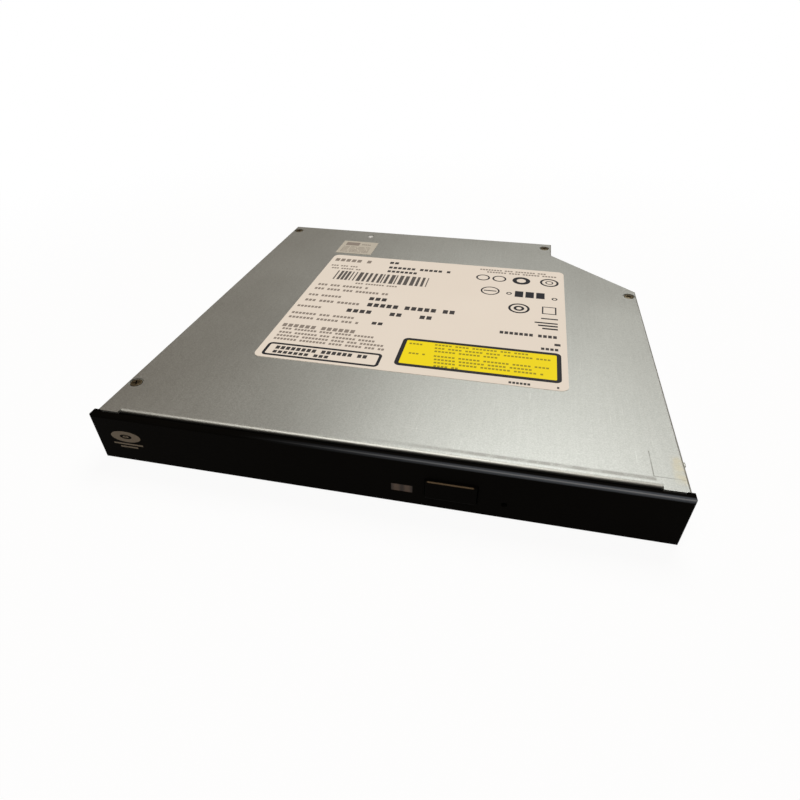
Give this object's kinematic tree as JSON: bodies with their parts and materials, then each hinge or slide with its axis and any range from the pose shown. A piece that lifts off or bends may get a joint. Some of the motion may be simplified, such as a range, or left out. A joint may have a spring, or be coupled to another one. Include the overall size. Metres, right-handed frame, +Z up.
{
  "type": "slimline optical disc drive",
  "caption": "Slim tray-loading disc drive with a folded steel case, a black bezel with eject button and lamp, and a drawer that slides out on telescopic rails.",
  "frame": {"origin": "on the spindle's axis at the underside of the case, which is the bottom centre of the whole drive", "axes": "+Z up through the disc, +Y towards the connector at the rear, +X to the right seen from the bezel"},
  "size_m": [0.128, 0.1298, 0.0127],
  "materials": {
    "cover_steel": "satin zinc-plated sheet with a fine grain",
    "case_steel": "satin zinc-plated sheet",
    "part_steel": "bright pressed sheet",
    "rod_steel": "polished",
    "screw_dark": "dark plating with a brassy sheen",
    "screw_bright": "bright plating",
    "black_plastic": "matt moulded",
    "tray_plastic": "finely eroded moulded",
    "guide_plastic": "matt moulded",
    "connector_plastic": "satin moulded",
    "paper_cream": "matt coated paper",
    "paper_silver": "silvery film",
    "clear_plastic": "smoky translucent",
    "board_green": "solder-resist lacquer",
    "chip_black": "matt moulded",
    "socket_white": "matt moulded",
    "lamp_white": "cast resin",
    "cable_grey": "satin film",
    "rubber_grey": "matt",
    "magnet_grey": "nickel-plated dull grey",
    "copper": "enamelled wire on steel poles",
    "alloy": "die-cast",
    "follower_white": "matt moulded",
    "holder_black": "matt moulded",
    "lens_glass": "polished"
  },
  "bodies": {
    "case": {"top_cover": "cover_steel", "bottom_case": "case_steel", "cover_screws": "screw_dark", "floor_screws": "screw_bright", "main_label": "paper_cream", "small_label": "paper_silver", "lock_post": "part_steel", "left_guide": "guide_plastic", "right_guide": "guide_plastic", "rear_board": "board_green", "rear_socket": "socket_white", "connector": "connector_plastic", "flat_cable": "cable_grey"},
    "left_rail": {"left_rail": "part_steel"},
    "right_rail": {"right_rail": "part_steel"},
    "drawer": {"tray": "tray_plastic", "bezel": "black_plastic", "light_guide": "clear_plastic", "front_board": "board_green", "eject_switch": "chip_black", "status_lamp": "lamp_white", "main_board": "board_green", "board_chips": "chip_black", "drawer_socket": "socket_white", "board_screws": "screw_bright", "plate_screws": "screw_bright", "bottom_plate": "part_steel", "chassis": "part_steel", "dampers": "rubber_grey", "damper_screws": "screw_bright", "rod_clamps": "guide_plastic", "main_rod": "rod_steel", "plain_rod": "rod_steel", "sled_bracket": "part_steel", "sled_motor": "part_steel", "mechanism_cover": "part_steel", "motor_base": "part_steel", "stator": "copper", "solenoid": "part_steel", "eject_spring": "rod_steel"},
    "spindle": {"rotor": "part_steel", "rotor_magnet": "magnet_grey", "spindle_shaft": "rod_steel", "turntable": "black_plastic", "friction_ring": "rubber_grey"},
    "claw_1": {"claw_1": "follower_white"},
    "claw_2": {"claw_2": "follower_white"},
    "claw_3": {"claw_3": "follower_white"},
    "sled": {"pickup_body": "alloy", "screw_follower": "follower_white", "actuator_yoke": "part_steel", "actuator_magnets": "magnet_grey", "actuator_cap": "part_steel"},
    "lens": {"lens_holder": "holder_black", "objective_lens": "lens_glass"},
    "lead_screw": {"lead_screw": "rod_steel"},
    "lever": {"lock_lever": "guide_plastic"},
    "plunger": {"plunger": "part_steel"},
    "button": {"eject_button": "black_plastic"},
    "pusher": {"eject_pusher": "guide_plastic"}
  },
  "joints": [
    {"name": "drawer_slide", "type": "slide", "parent": "case", "child": "drawer", "axis": [0, -1, 0], "range_m": [0, 0.12], "deforming": ["flat_cable"]},
    {"name": "left_rail_slide", "type": "slide", "parent": "case", "child": "left_rail", "axis": [0, -1, 0], "range_m": [0, 0.06]},
    {"name": "right_rail_slide", "type": "slide", "parent": "case", "child": "right_rail", "axis": [0, -1, 0], "range_m": [0, 0.06]},
    {"name": "spindle_spin", "type": "hinge", "parent": "drawer", "child": "spindle", "pos_m": [0, 0, 0.006], "axis": [0, 0, 1], "continuous": true},
    {"name": "claw_1_slide", "type": "slide", "parent": "spindle", "child": "claw_1", "axis": [-1, 0, 0], "range_m": [0, 0.0004], "stiffness_N_per_m": 1500, "springref_m": -0.0002},
    {"name": "claw_2_slide", "type": "slide", "parent": "spindle", "child": "claw_2", "axis": [0.5, -0.866, 0], "range_m": [0, 0.0004], "stiffness_N_per_m": 1500, "springref_m": -0.0002},
    {"name": "claw_3_slide", "type": "slide", "parent": "spindle", "child": "claw_3", "axis": [0.5, 0.866, 0], "range_m": [0, 0.0004], "stiffness_N_per_m": 1500, "springref_m": -0.0002},
    {"name": "sled_slide", "type": "slide", "parent": "drawer", "child": "sled", "axis": [-0.7071, -0.7071, 0], "range_m": [0, 0.0335]},
    {"name": "lead_screw_spin", "type": "hinge", "parent": "drawer", "child": "lead_screw", "pos_m": [-0.03677, -0.00566, 0.0042], "axis": [-0.7071, -0.7071, 0], "continuous": true},
    {"name": "lens_focus", "type": "slide", "parent": "sled", "child": "lens", "axis": [0, 0, 1], "range_m": [-0.0003, 0.0003], "stiffness_N_per_m": 60, "springref_m": 0.00004},
    {"name": "lock_lever_turn", "type": "hinge", "parent": "drawer", "child": "lever", "pos_m": [0.0395, -0.03, 0.0045], "axis": [0, 0, 1], "range_deg": [0, 14]},
    {"name": "plunger_slide", "type": "slide", "parent": "drawer", "child": "plunger", "axis": [0, -1, 0], "range_m": [0, 0.00183]},
    {"name": "button_press", "type": "slide", "parent": "drawer", "child": "button", "axis": [0, 1, 0], "range_m": [0, 0.0005], "stiffness_N_per_m": 1500, "springref_m": -0.0003},
    {"name": "pusher_slide", "type": "slide", "parent": "drawer", "child": "pusher", "axis": [0, 1, 0], "range_m": [0, 0.012], "deforming": ["eject_spring"]}
  ],
  "couplings": [
    {"joint": "left_rail_slide", "follows": "drawer_slide", "ratio": 0.5},
    {"joint": "right_rail_slide", "follows": "drawer_slide", "ratio": 0.5},
    {"joint": "pusher_slide", "follows": "drawer_slide", "ratio": 0.1},
    {"joint": "lead_screw_spin", "follows": "sled_slide", "rad_per_m": 2094.4},
    {"joint": "lock_lever_turn", "follows": "plunger_slide", "rad_per_m": 133.33}
  ]
}
